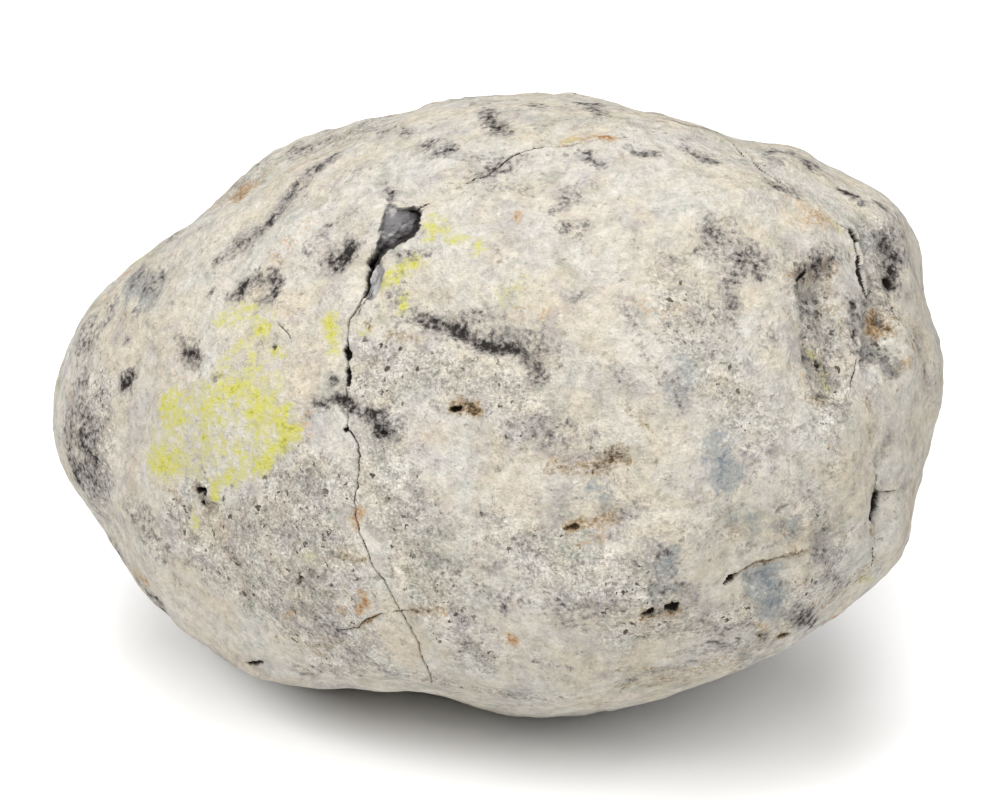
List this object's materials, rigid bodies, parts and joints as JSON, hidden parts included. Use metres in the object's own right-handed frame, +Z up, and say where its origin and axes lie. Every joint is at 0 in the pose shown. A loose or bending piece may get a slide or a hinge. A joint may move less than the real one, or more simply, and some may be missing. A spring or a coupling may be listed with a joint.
{
  "type": "calcite geode",
  "caption": "Closed, egg-shaped calcite geode with a chalky grey-flecked rind, a chipped notch and a crack down one face, resting on a small flat spot.",
  "frame": {"origin": "middle of the bounding box, on the ground the stone rests on", "axes": "+X along the stone's length towards its broad knobbly end, +Z up, -Y towards the cracked face"},
  "size_m": [0.1012, 0.0812, 0.0685],
  "materials": {
    "chalky_rind": "dry, chalky and matt, mottled with grey grains and small lime, rust and blue-grey stains"
  },
  "bodies": {
    "root": {"geode": "chalky_rind"}
  },
  "joints": []
}
